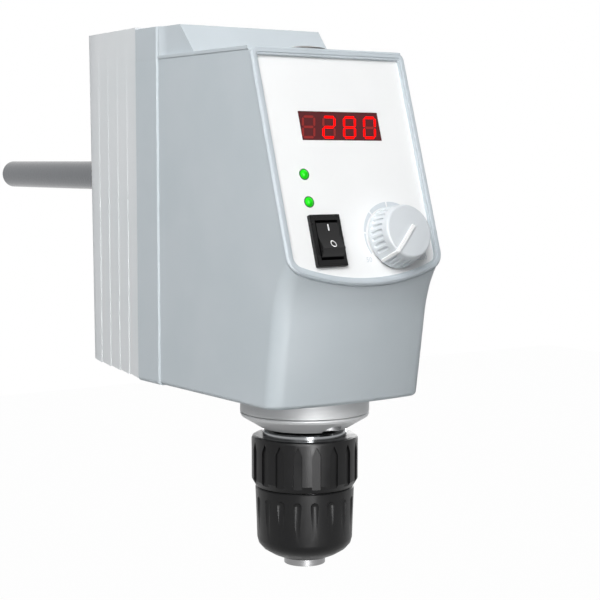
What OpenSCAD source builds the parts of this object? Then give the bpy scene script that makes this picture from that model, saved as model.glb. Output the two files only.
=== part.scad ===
// Overhead stirrer: a hollow-spindle laboratory stirrer with a keyless chuck, belt drive and support rod.
// Origin: where the spindle axis crosses the height of the support rod's axis.
// +Z is up along the spindle, the control panel faces -Y, the support rod points to +Y. Millimetres.

/* [Housing] */
// Width across the front housing
body_w = 83; // [70:1:110]
// Height of the panel's top edge above the support rod's axis
panel_top_z = 57; // [50:1:75]
// Depth of the housing floor below the support rod's axis
floor_drop = 99.5; // [90:0.5:125]
// How far the panel's top edge lies in front of the spindle axis
nose_y = 18.4; // [14:0.2:26]
// Tilt of the panel from the vertical
panel_tilt = 17.7; // [12:0.1:22]
// Length of the panel frame down the slope, at mid-width
panel_len = 107.4; // [100:0.1:116]
// Distance from the spindle axis back to the seam between front and rear housing
seam_y = 83; // [80:1:100]
// Distance from the spindle axis back to the rear wall, at the rod's height
rear_y = 148.4; // [140:0.2:170]
// Wall thickness of the mouldings
wall = 2.6; // [2:0.1:3.2]
// Radius of the vertical front corners
corner_r = 8; // [5:0.5:11]
// Radius of the vertical rear corners
rear_corner_r = 15; // [8:0.5:20]
// Height of the raised block above the panel's top edge
block_rise = 14.3; // [8:0.1:20]

/* [Panel fittings] */
// Width and height of the display window
window_w = 43.2; // [36:0.1:50]
window_h = 13.2; // [10:0.1:18]
// Distance of the window's centre from the panel's top edge
window_s = 34.9; // [30:0.1:40]
// Diameter of the two indicator lamps
lamp_d = 4.4; // [3:0.1:5]
// Width and height of the switch bezel
switch_w = 15.8; // [15:0.1:17]
switch_h = 23; // [22:0.1:25]
// Diameter of the speed knob at its base
knob_d = 28; // [24:0.5:30]
// Height of the speed knob
knob_h = 12; // [10:0.5:16]

/* [Spindle and drive] */
// Diameter of the hole through the spindle
spindle_bore_d = 10.5; // [8.5:0.1:11]
// Outer diameter of the spindle where the bearings sit
spindle_d = 17; // [15:0.5:20]
// Outer diameter of the two ball bearings
bearing_d = 35; // [32:1:42]
// Width of the ball bearings
bearing_w = 10; // [8:0.5:12]
// Diameter of the pulley on the spindle
spindle_pulley_d = 48; // [40:1:50]
// Diameter of the pulley on the motor
motor_pulley_d = 18; // [16:1:22]
// Distance from the spindle axis to the motor axis
drive_centre = 58; // [56:1:66]
// Diameter and length of the motor can
motor_d = 50; // [40:1:54]
motor_len = 62; // [50:1:70]

/* [Chuck] */
// Diameter and length of the upper sleeve
upper_sleeve_d = 49.5; // [48:0.5:56]
upper_sleeve_len = 23.5; // [22:0.5:30]
// Diameter of the lower sleeve at its top
lower_sleeve_d = 46; // [45:0.5:49]
// Length of the lower sleeve
lower_sleeve_len = 33.2; // [32:0.2:38]
// Diameter of the bare nose of the chuck body
nose_d = 19.2; // [18.6:0.2:22]
// Number of grip grooves around each sleeve
groove_count = 18; // [12:1:20]
// Width and depth of a flute on the lower sleeve
flute_w = 4.4; // [3:0.1:5]
flute_depth = 1.2; // [0.6:0.1:1.4]
// Diameter of a jaw
jaw_d = 5; // [4:0.1:5.6]
// Angle between a jaw and the spindle axis
jaw_angle = 15; // [14:0.5:15.5]

/* [Support rod] */
// Diameter of the support rod
rod_d = 16; // [12:0.5:18]
// Length of the rod that stands out behind the rear wall
rod_reach = 176; // [120:1:240]

/* [Hidden] */
$fn = 64;
eps = 0.01;
big = 400;
run_gap = 0.05;      // running clearance of a shaft in its hole
seat_gap = 0.02;     // clearance of a part seated in its own body
free_gap = 0.3;      // clearance between parts that pass each other

// ---- housing ----
half_w = body_w / 2;
floor_z = -floor_drop;
parting_z = panel_top_z - 0.9;
shelf_z = panel_top_z + 0.7;
block_z = panel_top_z + block_rise;
blend_y = -12;              // where the lofted nose meets the straight part of the housing
block_wall = 2.2;
plug_r = 8.7;
plug_rise = 2.4;
plug_dome_r = 38;
edge_r = 2;                 // rounding along the lower edges
belt_y = seam_y - 21;       // front edge of the proud band round the housing
belt_proud = 0.8;
slope_foot_y = belt_y - 29;  // front slope of the raised block
slope_top_y = belt_y - 17;
front_bottom_y = -38.3;     // middle of the front face at the floor
front_lean = 10.4;          // lean of the front face from the vertical
flare_r = 60;               // radius of the hollow sweep under the panel
flare_z = floor_z + 38.5;   // where the sweep starts
bow_floor_r = 210;          // bow of the front face in plan, at the floor
bow_lip_r = 137;            // the same at the panel's lower lip
lip_z = panel_top_z - panel_len * cos(panel_tilt);

// ---- panel ----
frame_rise = 0.8;           // the frame stands this far over and under the panel's reference plane
frame_side = 3.3;           // visible width of the frame
panel_t = 1.8;
panel_face = -frame_rise - 0.5;   // the panel film lies in a recess of the frame
panel_back = panel_face - panel_t;
front_wall = 2;
wall_back = panel_back - front_wall;
lamp_x = -24.2;
upper_lamp_s = 57;
lower_lamp_s = 69.4;
switch_x = -18.9;
switch_s = 87.1;
knob_x = 17.1;
knob_s = 86.8;
board_front = wall_back - 6.4;
board_t = 1.6;
board_half_w = half_w - wall - 3;
board_top_s = 19;
board_bottom_s = 74;
post_r = 2.6;

// ---- switch ----
rocker_w = 11.4;
rocker_r = 9.2;
rocker_pivot = -4;          // depth of the rocker's pin relative to the reference plane
rocker_tilt = 13;
rocker_end = 6;             // half length of the rocker's face at its ends
switch_open_w = rocker_w + 0.5;
switch_open_h = 17.6;
bezel_top = 1.2;
switch_body_w = 13.6;
switch_body_h = 20.4;
switch_depth = 14;
pin_r = 1;

// ---- knob ----
knob_base = 0;
knob_face_r = knob_d / 2 - 2.4;
knob_rim_r = 1.4;            // rounding between the knob's skirt and its face
knob_dome_r = 90;
pointer_rise = 0.8;
groove_r = 0.85;            // half width of a grip groove
knob_grips = 30;
pot_shaft_r = 3;
hub_r = pot_shaft_r + 3;
pot_bush_r = 3.6;
pot_r = 8;
pointer_angle = 43;         // pointer, measured clockwise from straight down

// ---- spindle line, from the collar down ----
collar_r = 30;
collar_bottom = floor_z - 7.6;
skirt_top = collar_bottom - 0.3;
skirt_bottom = skirt_top - 7.3;
skirt_end_r = 20.2;
ring_r = 19.6;
ring_top = skirt_bottom - 0.5;
ring_bottom = ring_top - 3;
upper_sleeve_top = ring_bottom - 0.1;
upper_sleeve_bottom = upper_sleeve_top - upper_sleeve_len;
lower_sleeve_top = upper_sleeve_bottom - 0.4;
lower_sleeve_bottom = lower_sleeve_top - lower_sleeve_len;
nose_bottom = lower_sleeve_bottom - 3.5;
neck_r = 12;
seal_r = 16;
collar_in_r = 14;
spindle_r = spindle_d / 2 - 0.03;
bore_r = spindle_bore_d / 2;
spindle_top = parting_z - 4;
spindle_bottom = upper_sleeve_top - 9;

// ---- chuck inside ----
jaw_r = jaw_d / 2;
jaw_open = bore_r + 0.1;    // jaws rest open by this radius
jaw_travel_r = jaw_open - 0.25;
jaw_foot_r = nose_d / 2 - jaw_r / cos(jaw_angle) - 1.1;
nut_w = 8;
nut_bottom = lower_sleeve_bottom + 9.5;
nut_top = nut_bottom + nut_w;
jaw_drop = jaw_travel_r / tan(jaw_angle);
jaw_top = nut_top + jaw_drop;
body_core_r = lower_sleeve_d / 2 - 3.55;
sleeve_in_r = body_core_r + run_gap;
body_head_r = body_core_r + 1.4;
body_shoulder_r = 13.4;
body_foot_r = 11.2;

// ---- bearings, pulleys and belt ----
column_r = bearing_d / 2 + 4.5;
column_top = floor_z + 57.5;
foot_r = 30;
foot_t = 5;
foot_screw_r = 24.5;        // radius of the circle of the collar's screws
lower_bearing_z = floor_z + wall + 1.5;
upper_bearing_z = column_top - bearing_w - 1;
pulley_w = 12;
pulley_z = column_top + 2;
rib_pitch = 2.34;
rib_depth = 1;
belt_t = 1.4;
belt_gap = 0.25;
shelf_plate_z = pulley_z + pulley_w + 2;
shelf_plate_t = 4;
motor_z = shelf_plate_z + shelf_plate_t;
motor_shaft_r = 4;
motor_screw_x = 17;
pilot_r = 11;
step_h = 16;                // the base steps up over the rear housing's edge
plate_y = seam_y + 3;
plate_t = 5;

// ---- rear ----
rear_half_w = half_w + 0.6;
band_pitch = 11;
band_count = 5;
band_side_step = 0.55;      // each band starts this much further in than the one before
band_floor_step = 0.75;
band_lip = 0.35;            // and stands this much proud of the end of the one before
rear_lean = 0.9;
rear_top_z = block_z + 0.9;
rear_floor_z = floor_z + 0.8;
rod_r = rod_d / 2;
rod_start = plate_y + 1;
rod_end = rear_y + rod_reach;
spigot_r = rod_r - 1.5;      // the rod is turned down inside the housing, up to the bush
rod_boss_r = rod_r + 6;
rod_boss_end = plate_y + plate_t + 22;
set_screw_y = rod_boss_end - 10;
pad_y = rear_y + 1;         // flat pad round the rod on the leaning rear wall
bush_end = pad_y + 8;
inlet_z = -58;
inlet_y = rear_y - 0.4;     // flat pad round the mains inlet
inlet_w = 27;
inlet_h = 28;
inlet_depth = 21;
socket_z = inlet_z - 4;
fuse_z = inlet_z + 8.8;
screw_x = 25;
screw_zs = [rear_floor_z + 16, rear_top_z - 12];

// ---------- helpers ----------

// Places children on the panel: x across, y up the slope, z out of the panel.
module on_panel(x = 0, s = 0, z = 0)
    translate([0, -nose_y, panel_top_z]) rotate([90 - panel_tilt, 0, 0]) translate([x, -s, z]) children();

// Everything in front of a plane parallel to the panel.
module ahead_of_panel(z)
    on_panel(0, 0, z) translate([-big / 2, -big / 2, 0]) cube([big, big, big / 2]);

module tube(r_out, r_in, h) difference() {
    cylinder(r = r_out, h = h);
    translate([0, 0, -1]) cylinder(r = r_in, h = h + 2);
}

// Rectangle with true round corners.
module round_rect(w, h, r) {
    square([w - 2 * r, h], center = true);
    square([w, h - 2 * r], center = true);
    for (sx = [-1, 1], sy = [-1, 1]) translate([sx * (w / 2 - r), sy * (h / 2 - r)]) circle(r = r);
}

module round_box(w, h, d, r) linear_extrude(d) round_rect(w, h, r);

// Panel outline: straight sides, bowed lower edge, round corners; y runs up from the panel's top edge at 0.
module panel_outline(inset, top_r, low_r) {
    h = half_w + 0.35 - inset;
    bow = 109 - inset;
    bow_y = inset - panel_len - 0.3 + bow;
    side = asin((h - low_r) / (bow - low_r));
    low_y = bow_y - (bow - low_r) * cos(side);
    right = concat(
        [for (i = [1:12]) let (a = side * i / 12) [bow * sin(a), bow_y - bow * cos(a)]],
        [for (i = [1:7]) let (a = side - 90 + (90 - side) * i / 7) [h - low_r + low_r * cos(a), low_y + low_r * sin(a)]],
        [for (i = [0:5]) let (a = 90 * i / 5) [h - top_r + top_r * cos(a), -inset - top_r + top_r * sin(a)]]);
    polygon(concat([[0, bow_y - bow]], right, [for (i = [len(right) - 1:-1:0]) [-right[i][0], right[i][1]]]));
}

// ---------- lofted nose of the front housing ----------

// Middle of the front face at height z: a leaning straight, then a hollow arc out to the panel's lip.
function flare_angle(z) = asin(min(0.95, sin(front_lean) + (z - flare_z) / flare_r));
function face_y(z) = z < flare_z
    ? front_bottom_y - (z - floor_z) * tan(front_lean)
    : front_bottom_y - (flare_z - floor_z) * tan(front_lean) - flare_r * (cos(front_lean) - cos(flare_angle(z)));
function bow_r(z) = bow_floor_r + (bow_lip_r - bow_floor_r) * min(1, (z - floor_z) / (lip_z - floor_z));
function edge_inset(z) = z >= floor_z + edge_r ? 0 : edge_r - sqrt(max(0, edge_r * edge_r - pow(floor_z + edge_r - z, 2)));

// Outline of the nose at height z, inset by d: side, round corner, bowed front, round corner, side.
function nose_section(z, d) =
    let (h = half_w - d, r = max(1, corner_r - d), bow = bow_r(z) - d, mid = face_y(z) + d,
         bow_y = mid + bow, turn = asin((h - r) / (bow - r)), cx = h - r, cy = bow_y - (bow - r) * cos(turn))
    concat(
        [[-h, blend_y]],
        [for (i = [0:7]) let (a = 180 + (90 - turn) * i / 7) [-cx + r * cos(a), cy + r * sin(a)]],
        [for (i = [1:13]) let (a = 270 - turn + 2 * turn * i / 14) [bow * cos(a), bow_y + bow * sin(a)]],
        [for (i = [0:7]) let (a = 270 + turn + (90 - turn) * i / 7) [cx + r * cos(a), cy + r * sin(a)]],
        [[h, blend_y]]);

// Closed solid through a stack of outlines with equal point counts.
module loft(sections, heights) {
    n = len(sections[0]);
    m = len(heights);
    polyhedron(
        points = [for (k = [0:m - 1]) for (p = sections[k]) [p[0], p[1], heights[k]]],
        faces = concat(
            [[for (i = [0:n - 1]) i]],
            [for (k = [0:m - 2]) for (i = [0:n - 1]) let (j = (i + 1) % n)
                each [[k * n + i, (k + 1) * n + i, (k + 1) * n + j], [k * n + i, (k + 1) * n + j, k * n + j]]],
            [[for (i = [n - 1:-1:0]) (m - 1) * n + i]]));
}

outer_levels = concat(
    [for (a = [0:30:90]) floor_z + edge_r * (1 - cos(a))],
    [for (i = [1:3]) floor_z + edge_r + (flare_z - floor_z - edge_r) * i / 3],
    [for (i = [1:12]) flare_z + 36 * i / 12]);
inner_levels = concat([floor_z + wall, flare_z], [for (i = [1:8]) flare_z + 36 * i / 8]);
head_z = flare_z + 31;

module nose_outer() loft([for (z = outer_levels) nose_section(z, edge_inset(z))], outer_levels);
module nose_inner() loft([for (z = inner_levels) nose_section(z, wall)], inner_levels);

// ---------- housing mouldings ----------

// Cross-section of the housing between floor and parting line, rounded along the floor.
module trough_profile(h, z_low, z_top, r) {
    translate([-h, z_low + r]) square([2 * h, z_top - z_low - r]);
    translate([-h + r, z_low]) square([2 * (h - r), r + eps]);
    for (sx = [-1, 1]) translate([sx * (h - r), z_low + r]) circle(r = r);
}

module trough(h, z_low, z_top, r, y0, y1)
    translate([0, y1, 0]) rotate([90, 0, 0]) linear_extrude(y1 - y0) trough_profile(h, z_low, z_top, r);

// Plan of the proud band: its front edge is a narrow slope.
module belt_plan() {
    h = half_w + belt_proud;
    polygon([[-h, seam_y + 1], [-h, belt_y + belt_proud], [-half_w, belt_y], [half_w, belt_y], [h, belt_y + belt_proud], [h, seam_y + 1]]);
}

module front_housing() color("LightSteelBlue") {
    difference() {
        union() {
            trough(half_w, floor_z, parting_z, edge_r, blend_y, seam_y);
            intersection() {
                trough(half_w + belt_proud, floor_z - 0.3, parting_z, edge_r, belt_y, seam_y);
                translate([0, 0, -big / 2]) linear_extrude(big) belt_plan();
            }
            translate([-half_w, -60, head_z]) cube([body_w, 60 + blend_y, parting_z - head_z]);
            nose_outer();
        }
        // hollow inside, open at the top and the back
        difference() {
            union() {
                translate([-half_w + wall, blend_y - eps, floor_z + wall]) cube([body_w - 2 * wall, big, big]);
                translate([-half_w + wall, -60, head_z]) cube([body_w - 2 * wall, 60 + blend_y, big]);
                nose_inner();
            }
            ahead_of_panel(wall_back);
        }
        ahead_of_panel(panel_face);
        on_panel(0, 0, panel_back) linear_extrude(big) panel_outline(frame_side - 0.9, 2, 6.2);
        panel_cutouts(wall_back - 1, 0.15);
        translate([0, 0, floor_z - 1]) cylinder(r = 20, h = wall + 2);
        collar_screw_places(floor_z - 1) cylinder(r = 1.8, h = wall + 2);
    }
    // posts for the control board
    for (sx = [-1, 1], s = [board_top_s + 4, board_bottom_s - 4])
        on_panel(sx * (board_half_w - 4), s, board_front) cylinder(r = post_r, h = wall_back - board_front);
}

// Window, lamp, switch and potentiometer holes, cut from depth z outwards, each larger by gap all round.
module panel_cutouts(z, gap) {
    on_panel(0, window_s, z) linear_extrude(20) square([window_w + 2 * gap, window_h + 2 * gap], center = true);
    for (s = [upper_lamp_s, lower_lamp_s]) on_panel(lamp_x, s, z) cylinder(d = lamp_d + 2 * gap, h = 20);
    on_panel(switch_x, switch_s, z) linear_extrude(20)
        square([switch_body_w + 2 * gap, switch_body_h + 2 * gap], center = true);
    on_panel(knob_x, knob_s, z) cylinder(r = pot_bush_r + gap, h = 20);
}

// Plan of the raised block: narrow in front, hollow-cornered out to the full width at the band.
module block_plan(d) {
    h = half_w - 2.8 - d;
    step = half_w + belt_proud - d;
    right = [[h, 28], [h + 1, belt_y - 7], [h + 1.6, belt_y - 3], [h + 2.8, belt_y - 0.8], [h + 2.8, belt_y], [step, belt_y + belt_proud], [step, seam_y - 2 * d]];
    polygon(concat(right, [for (i = [len(right) - 1:-1:0]) [-right[i][0], right[i][1]]]));
}

module block_solid(d) difference() {
    translate([0, 0, parting_z]) linear_extrude(block_z - d - parting_z) block_plan(d);
    // front slope, from the shelf up to the block's top edge
    translate([-big / 2, 0, 0]) rotate([90, 0, 90]) linear_extrude(big) polygon([
        [slope_foot_y + d, shelf_z - 20], [slope_foot_y + d, shelf_z - d], [slope_top_y + d, block_z - d],
        [slope_top_y + d, block_z + 5], [-30, block_z + 5], [-30, shelf_z - 20]]);
}

module top_cover() color("Lavender") difference() {
    union() {
        // shelf over the spindle
        translate([0, 0, parting_z]) linear_extrude(shelf_z - parting_z)
            translate([-half_w - 0.4, -60]) square([body_w + 0.8, 60 + belt_y]);
        block_solid(0);
    }
    translate([0, 0, -eps]) block_solid(block_wall);
    // open back, under the roof
    translate([-half_w, seam_y - 5, parting_z - 1]) cube([body_w, 10, block_z - block_wall - parting_z + 1]);
    ahead_of_panel(panel_face);
    translate([0, 0, parting_z - 1]) cylinder(r = plug_r, h = 10);
}

// ---------- panel ----------

module panel_frame() color("Gainsboro") difference() {
    on_panel(0, 0, panel_face) union() {
        linear_extrude(0.1 - panel_face) panel_outline(0, 3, 8.4);
        linear_extrude(0.5 - panel_face) panel_outline(0.25, 2.8, 8.1);
        linear_extrude(frame_rise - panel_face) panel_outline(0.7, 2.3, 7.7);
    }
    on_panel(0, 0, panel_face - 1) linear_extrude(10) panel_outline(frame_side, 1.2, 5.1);
    on_panel(0, 0, frame_rise - 0.5) linear_extrude(10) panel_outline(frame_side - 1, 2, 6.1);
}

module front_panel() color("WhiteSmoke") difference() {
    on_panel(0, 0, panel_back) linear_extrude(panel_t) panel_outline(frame_side - 0.8, 1.9, 6);
    panel_cutouts(panel_back - 1, 0.05);
}

module display_window() color("Maroon")
    on_panel(0, window_s, panel_face - 1.2) linear_extrude(1.2) square([window_w, window_h], center = true);

module display_module() color("DimGray")
    on_panel(0, window_s, board_front) linear_extrude(panel_face - 1.2 - board_front)
        square([window_w - 0.2, window_h - 0.2], center = true);

module lamp() color("LimeGreen") rotate_extrude() intersection() {
    union() {
        square([lamp_d / 2, panel_face - board_front + 0.2]);
        translate([0, panel_face - board_front - 0.8]) circle(r = lamp_d / 2);
    }
    square([lamp_d, 30]);
}

module upper_lamp() on_panel(lamp_x, upper_lamp_s, board_front) lamp();
module lower_lamp() on_panel(lamp_x, lower_lamp_s, board_front) lamp();

module control_board() color("DarkGreen") on_panel(0, (board_top_s + board_bottom_s) / 2, board_front - board_t) {
    round_box(2 * board_half_w, board_bottom_s - board_top_s, board_t, 2);
    // processor, regulator and plug strip on the back
    translate([-8, -14, -1.2]) cube([12, 12, 1.2]);
    translate([14, -18, -4]) cube([9, 4, 4]);
    translate([-28, 14, -7]) cube([20, 6, 7]);
}

// ---------- power switch ----------

module switch_body() color("Black") on_panel(switch_x, switch_s, 0) difference() {
    union() {
        translate([0, 0, panel_face]) linear_extrude(bezel_top - 0.5 - panel_face) round_rect(switch_w, switch_h, 0.4);
        translate([0, 0, panel_face]) linear_extrude(bezel_top - panel_face) round_rect(switch_w - 1, switch_h - 1, 0.4);
        translate([0, 0, -switch_depth]) linear_extrude(switch_depth + panel_face + eps)
            square([switch_body_w, switch_body_h], center = true);
    }
    translate([0, 0, -switch_depth + 1.5]) linear_extrude(30) square([switch_open_w, switch_open_h], center = true);
    translate([0, 0, -switch_depth + 1.5]) linear_extrude(switch_depth - 1.5 + panel_face)
        square([switch_open_w, 2 * rocker_r + 0.6], center = true);
    translate([-switch_body_w, 0, rocker_pivot]) rotate([0, 90, 0]) cylinder(r = pin_r + run_gap, h = 2 * switch_body_w);
}

module switch_terminals() color("Goldenrod") on_panel(switch_x, switch_s, -switch_depth)
    for (y = [-6.5, 0.5]) translate([-2.4, y, -8]) difference() {
        cube([4.8, 0.8, 8]);
        translate([2.4, 2, 2.2]) rotate([90, 0, 0]) cylinder(d = 1.6, h = 4);
    }

// The rocker rests with its upper end pressed in.
module rocker() color("Black") on_panel(switch_x, switch_s, rocker_pivot) rotate([-rocker_tilt, 0, 0]) {
    face_h = sqrt(rocker_r * rocker_r - rocker_end * rocker_end);
    translate([-rocker_w / 2, 0, 0]) rotate([90, 0, 90]) linear_extrude(rocker_w) difference() {
        circle(r = rocker_r);
        polygon([[-20, face_h], [-rocker_end, face_h], [0, face_h - 1.4], [rocker_end, face_h], [20, face_h], [20, 20], [-20, 20]]);
        translate([-20, -20 - 3]) square([40, 20]);
    }
    translate([-switch_body_w / 2, 0, 0]) rotate([0, 90, 0]) cylinder(r = pin_r, h = switch_body_w);
}

// ---------- speed control ----------

module potentiometer() color("SlateGray") on_panel(knob_x, knob_s, 0) difference() {
    union() {
        translate([0, 0, wall_back - 9]) cylinder(r = pot_r, h = 9);
        translate([0, 0, wall_back - eps]) cylinder(r = pot_bush_r, h = bezel_top - wall_back + 1.2);
        translate([-7.5, -pot_r - 6, wall_back - 7]) cube([15, 9, 1.6]);
    }
    translate([0, 0, wall_back - 7.5]) cylinder(r = pot_shaft_r + run_gap, h = 30);
}

module pot_nut() color("Silver") on_panel(knob_x, knob_s, panel_face) difference() {
    cylinder(r = 6, h = 2, $fn = 6);
    translate([0, 0, -1]) cylinder(r = pot_bush_r + seat_gap, h = 5);
}

module knob_shaft() color("Silver") on_panel(knob_x, knob_s, wall_back - 7)
    cylinder(r = pot_shaft_r, h = knob_h - 3 - wall_back + 7);

// Half outline of the knob, grown outwards by d: tapered skirt, round rim and domed face.
module knob_profile(d) {
    rim_x = knob_face_r + 0.6 - knob_rim_r;
    rim_z = knob_h - 0.6 - knob_rim_r;
    polygon(concat([[0, 0], [knob_d / 2 + d, 0], [knob_d / 2 + d, 0.8]],
        [for (a = [8, 25, 42, 58, 74, 90]) [rim_x + (knob_rim_r + d) * cos(a), rim_z + (knob_rim_r + d) * sin(a)]],
        [[0, knob_h - 0.6 + d]]));
    intersection() {
        translate([0, knob_h - knob_dome_r]) circle(r = knob_dome_r + d, $fn = 240);
        translate([0, knob_h - 2]) square([rim_x, 4]);
    }
}

// Grip groove k of the knob: a round-ended slot along the skirt.
module knob_groove(k) {
    lean = atan((knob_d / 2 - knob_face_r) / knob_h);
    low = 1.6 + groove_r;
    rotate([0, 0, -90 - k * 360 / knob_grips]) translate([knob_d / 2 + 0.15, 0, 0]) rotate([0, -lean, 0]) {
        translate([0, 0, low]) cylinder(r = groove_r, h = knob_h - 3.4 - low - groove_r);
        translate([0, 0, low]) sphere(r = groove_r);
        translate([0, 0, knob_h - 3.4 - groove_r]) sphere(r = groove_r);
    }
}

module speed_knob() color("WhiteSmoke") on_panel(knob_x, knob_s, knob_base) difference() {
    rotate_extrude() difference() {
        knob_profile(0);
        polygon([[hub_r, -1], [knob_d / 2 - 2.4, -1], [knob_face_r - 1.6, knob_h - 3], [hub_r, knob_h - 3]]);
    }
    translate([0, 0, -1]) cylinder(r = hub_r + 1, h = 4);
    translate([0, 0, -1]) cylinder(r = pot_shaft_r + seat_gap, h = knob_h - 2);
    // grooves all round, left out under the pointer
    for (k = [0:knob_grips - 1]) if (abs(k * 360 / knob_grips - pointer_angle) > 200 / knob_grips) knob_groove(k);
}

// Raised rib across the face, over the rim and down the skirt.
module knob_pointer() color("White") on_panel(knob_x, knob_s, knob_base) intersection() {
    rotate_extrude() difference() {
        knob_profile(pointer_rise);
        knob_profile(0);
        translate([-eps, -1]) square([knob_d, 2]);
    }
    rotate([0, 0, -90 - pointer_angle]) translate([-3, -0.7, 0]) cube([knob_d, 1.4, 2 * knob_h]);
}

// ---------- chassis ----------

// The four screws that hold the collar, the floor and the column's foot together.
module collar_screw_places(z) for (a = [45:90:315]) rotate([0, 0, a]) translate([foot_screw_r, 0, z]) children();

module chassis() color("DarkGray") difference() {
    union() {
        // bearing column on a bolted foot
        translate([0, 0, floor_z + wall]) cylinder(r = column_r, h = column_top - floor_z - wall);
        translate([0, 0, floor_z + wall]) cylinder(r = foot_r, h = foot_t);
        // base plate back to the upright plate
        translate([-foot_r + 2, 0, floor_z + wall]) cube([2 * foot_r - 4, seam_y - 1, foot_t]);
        translate([-foot_r + 2, seam_y - 7, floor_z + wall]) cube([2 * foot_r - 4, 6, step_h]);
        translate([-foot_r + 2, seam_y - 7, floor_z + wall + step_h - 6]) cube([2 * foot_r - 4, plate_y + plate_t - seam_y + 7, 6]);
        // upright plate with the rod boss
        translate([-half_w + wall + 3, plate_y, floor_z + wall + step_h - 6])
            cube([body_w - 2 * wall - 6, plate_t, parting_z - floor_z - wall - step_h + 2]);
        translate([0, plate_y, 0]) rotate([-90, 0, 0]) cylinder(r = rod_boss_r, h = rod_boss_end - plate_y);
        // motor shelf with side webs, and webs beside the column
        translate([-30, drive_centre - motor_d / 2, shelf_plate_z]) cube([60, plate_y - drive_centre + motor_d / 2 + eps, shelf_plate_t]);
        for (sx = [-1, 1]) translate([sx * 32 - 2, drive_centre - 6, shelf_plate_z]) cube([4, plate_y - drive_centre + 6 + eps, 22]);
        translate([-3, column_r - 2, floor_z + wall]) cube([6, 18, column_top - floor_z - wall - 6]);
    }
    translate([0, 0, floor_z]) cylinder(r = spindle_d / 2 + 3.5, h = column_top - floor_z + 1);
    translate([0, 0, floor_z]) cylinder(d = bearing_d + 2 * seat_gap, h = lower_bearing_z + bearing_w - floor_z);
    translate([0, 0, upper_bearing_z]) cylinder(d = bearing_d + 2 * seat_gap, h = bearing_w + 2);
    translate([0, drive_centre, shelf_plate_z - 1]) cylinder(r = pilot_r, h = shelf_plate_t + 2);
    for (sx = [-1, 1]) translate([sx * motor_screw_x, drive_centre, shelf_plate_z - 1]) cylinder(r = 1.6, h = 20);
    collar_screw_places(floor_z) cylinder(r = 1.52, h = 20);
    translate([0, rod_start, 0]) rotate([-90, 0, 0]) cylinder(r = spigot_r + seat_gap, h = big);
    translate([0, set_screw_y, 0]) cylinder(r = 2.5 + seat_gap, h = big);
}

module bearing() color("Silver") rotate_extrude() difference() {
    translate([spindle_d / 2, 0]) square([(bearing_d - spindle_d) / 2, bearing_w]);
    for (z = [-eps, bearing_w - 0.6]) translate([spindle_d / 2 + 2.2, z]) square([(bearing_d - spindle_d) / 2 - 4.4, 0.6 + eps]);
}

module upper_bearing() translate([0, 0, upper_bearing_z]) bearing();
module lower_bearing() translate([0, 0, lower_bearing_z]) bearing();

// ---------- motor and belt ----------

module motor_can() color("Gray") translate([0, drive_centre, motor_z]) difference() {
    union() {
        cylinder(d = motor_d, h = motor_len);
        translate([0, 0, -2.5]) cylinder(r = pilot_r - 0.2, h = 3);
    }
    translate([0, 0, -5]) cylinder(r = motor_shaft_r + run_gap, h = motor_len + 10);
    for (a = [0:45:315]) rotate([0, 0, a]) translate([motor_d / 2 - 6, -2, motor_len - 10]) cube([10, 4, 12]);
    for (sx = [-1, 1]) translate([sx * motor_screw_x, 0, -1]) cylinder(r = 1.52, h = 9);
}

module motor_screws() color("Silver") for (sx = [-1, 1])
    translate([sx * motor_screw_x, drive_centre, shelf_plate_z]) {
        cylinder(r = 1.5, h = shelf_plate_t + 6);
        translate([0, 0, -1.6]) cylinder(r = 2.8, h = 1.6);
    }

module motor_shaft() color("Silver") translate([0, drive_centre, pulley_z - 2])
    cylinder(r = motor_shaft_r, h = motor_z + motor_len + 11 - pulley_z);

module cooling_fan() color("DimGray") translate([0, drive_centre, motor_z + motor_len + 1]) difference() {
    union() {
        cylinder(r = 9, h = 8);
        for (a = [0:40:320]) rotate([0, 0, a]) translate([8, 0, 4]) rotate([35, 0, 0])
            translate([0, -0.7, -3.5]) cube([motor_d / 2 - 10, 1.4, 7]);
    }
    translate([0, 0, -1]) cylinder(r = motor_shaft_r + seat_gap, h = 20);
}

// Pulley rim section with circumferential V grooves.
module pulley_rim(r) difference() {
    translate([r / 3, 0]) square([r * 2 / 3, pulley_w]);
    for (z = [1.3:rib_pitch:pulley_w - 1]) polygon([[r + 1, z - 1.1], [r + 1, z + 1.1], [r, z + 0.75], [r - rib_depth, z], [r, z - 0.75]]);
}

module motor_pulley() color("Silver") translate([0, drive_centre, pulley_z]) difference() {
    rotate_extrude() union() {
        pulley_rim(motor_pulley_d / 2);
        square([motor_pulley_d / 4, pulley_w]);
    }
    translate([0, 0, -1]) cylinder(r = motor_shaft_r + seat_gap, h = 20);
}

module spindle_pulley() color("Silver") translate([0, 0, pulley_z]) difference() {
    rotate_extrude() union() {
        pulley_rim(spindle_pulley_d / 2);
        translate([0, -1.2]) square([spindle_d / 2 + 3, pulley_w + 1.2]);
    }
    translate([0, 0, -5]) cylinder(r = spindle_r + seat_gap, h = 30);
    for (a = [0:60:300]) rotate([0, 0, a]) translate([spindle_pulley_d / 3.1, 0, -1]) cylinder(r = 4, h = 30);
}

// Two circles joined by their outer tangents.
module belt_loop(r1, r2) {
    lean = asin((r1 - r2) / drive_centre);
    circle(r = r1);
    translate([0, drive_centre]) circle(r = r2);
    polygon([for (sx = [1, -1]) each [
        [sx * r1 * cos(lean), r1 * sin(lean)], [sx * r2 * cos(lean), drive_centre + r2 * sin(lean)]]], [[0, 1, 3, 2]]);
}

module belt_ring(z, h, inner) translate([0, 0, pulley_z + z]) linear_extrude(h) difference() {
    belt_loop(spindle_pulley_d / 2 + belt_gap + belt_t, motor_pulley_d / 2 + belt_gap + belt_t);
    belt_loop(spindle_pulley_d / 2 + belt_gap - inner, motor_pulley_d / 2 + belt_gap - inner);
}

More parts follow.
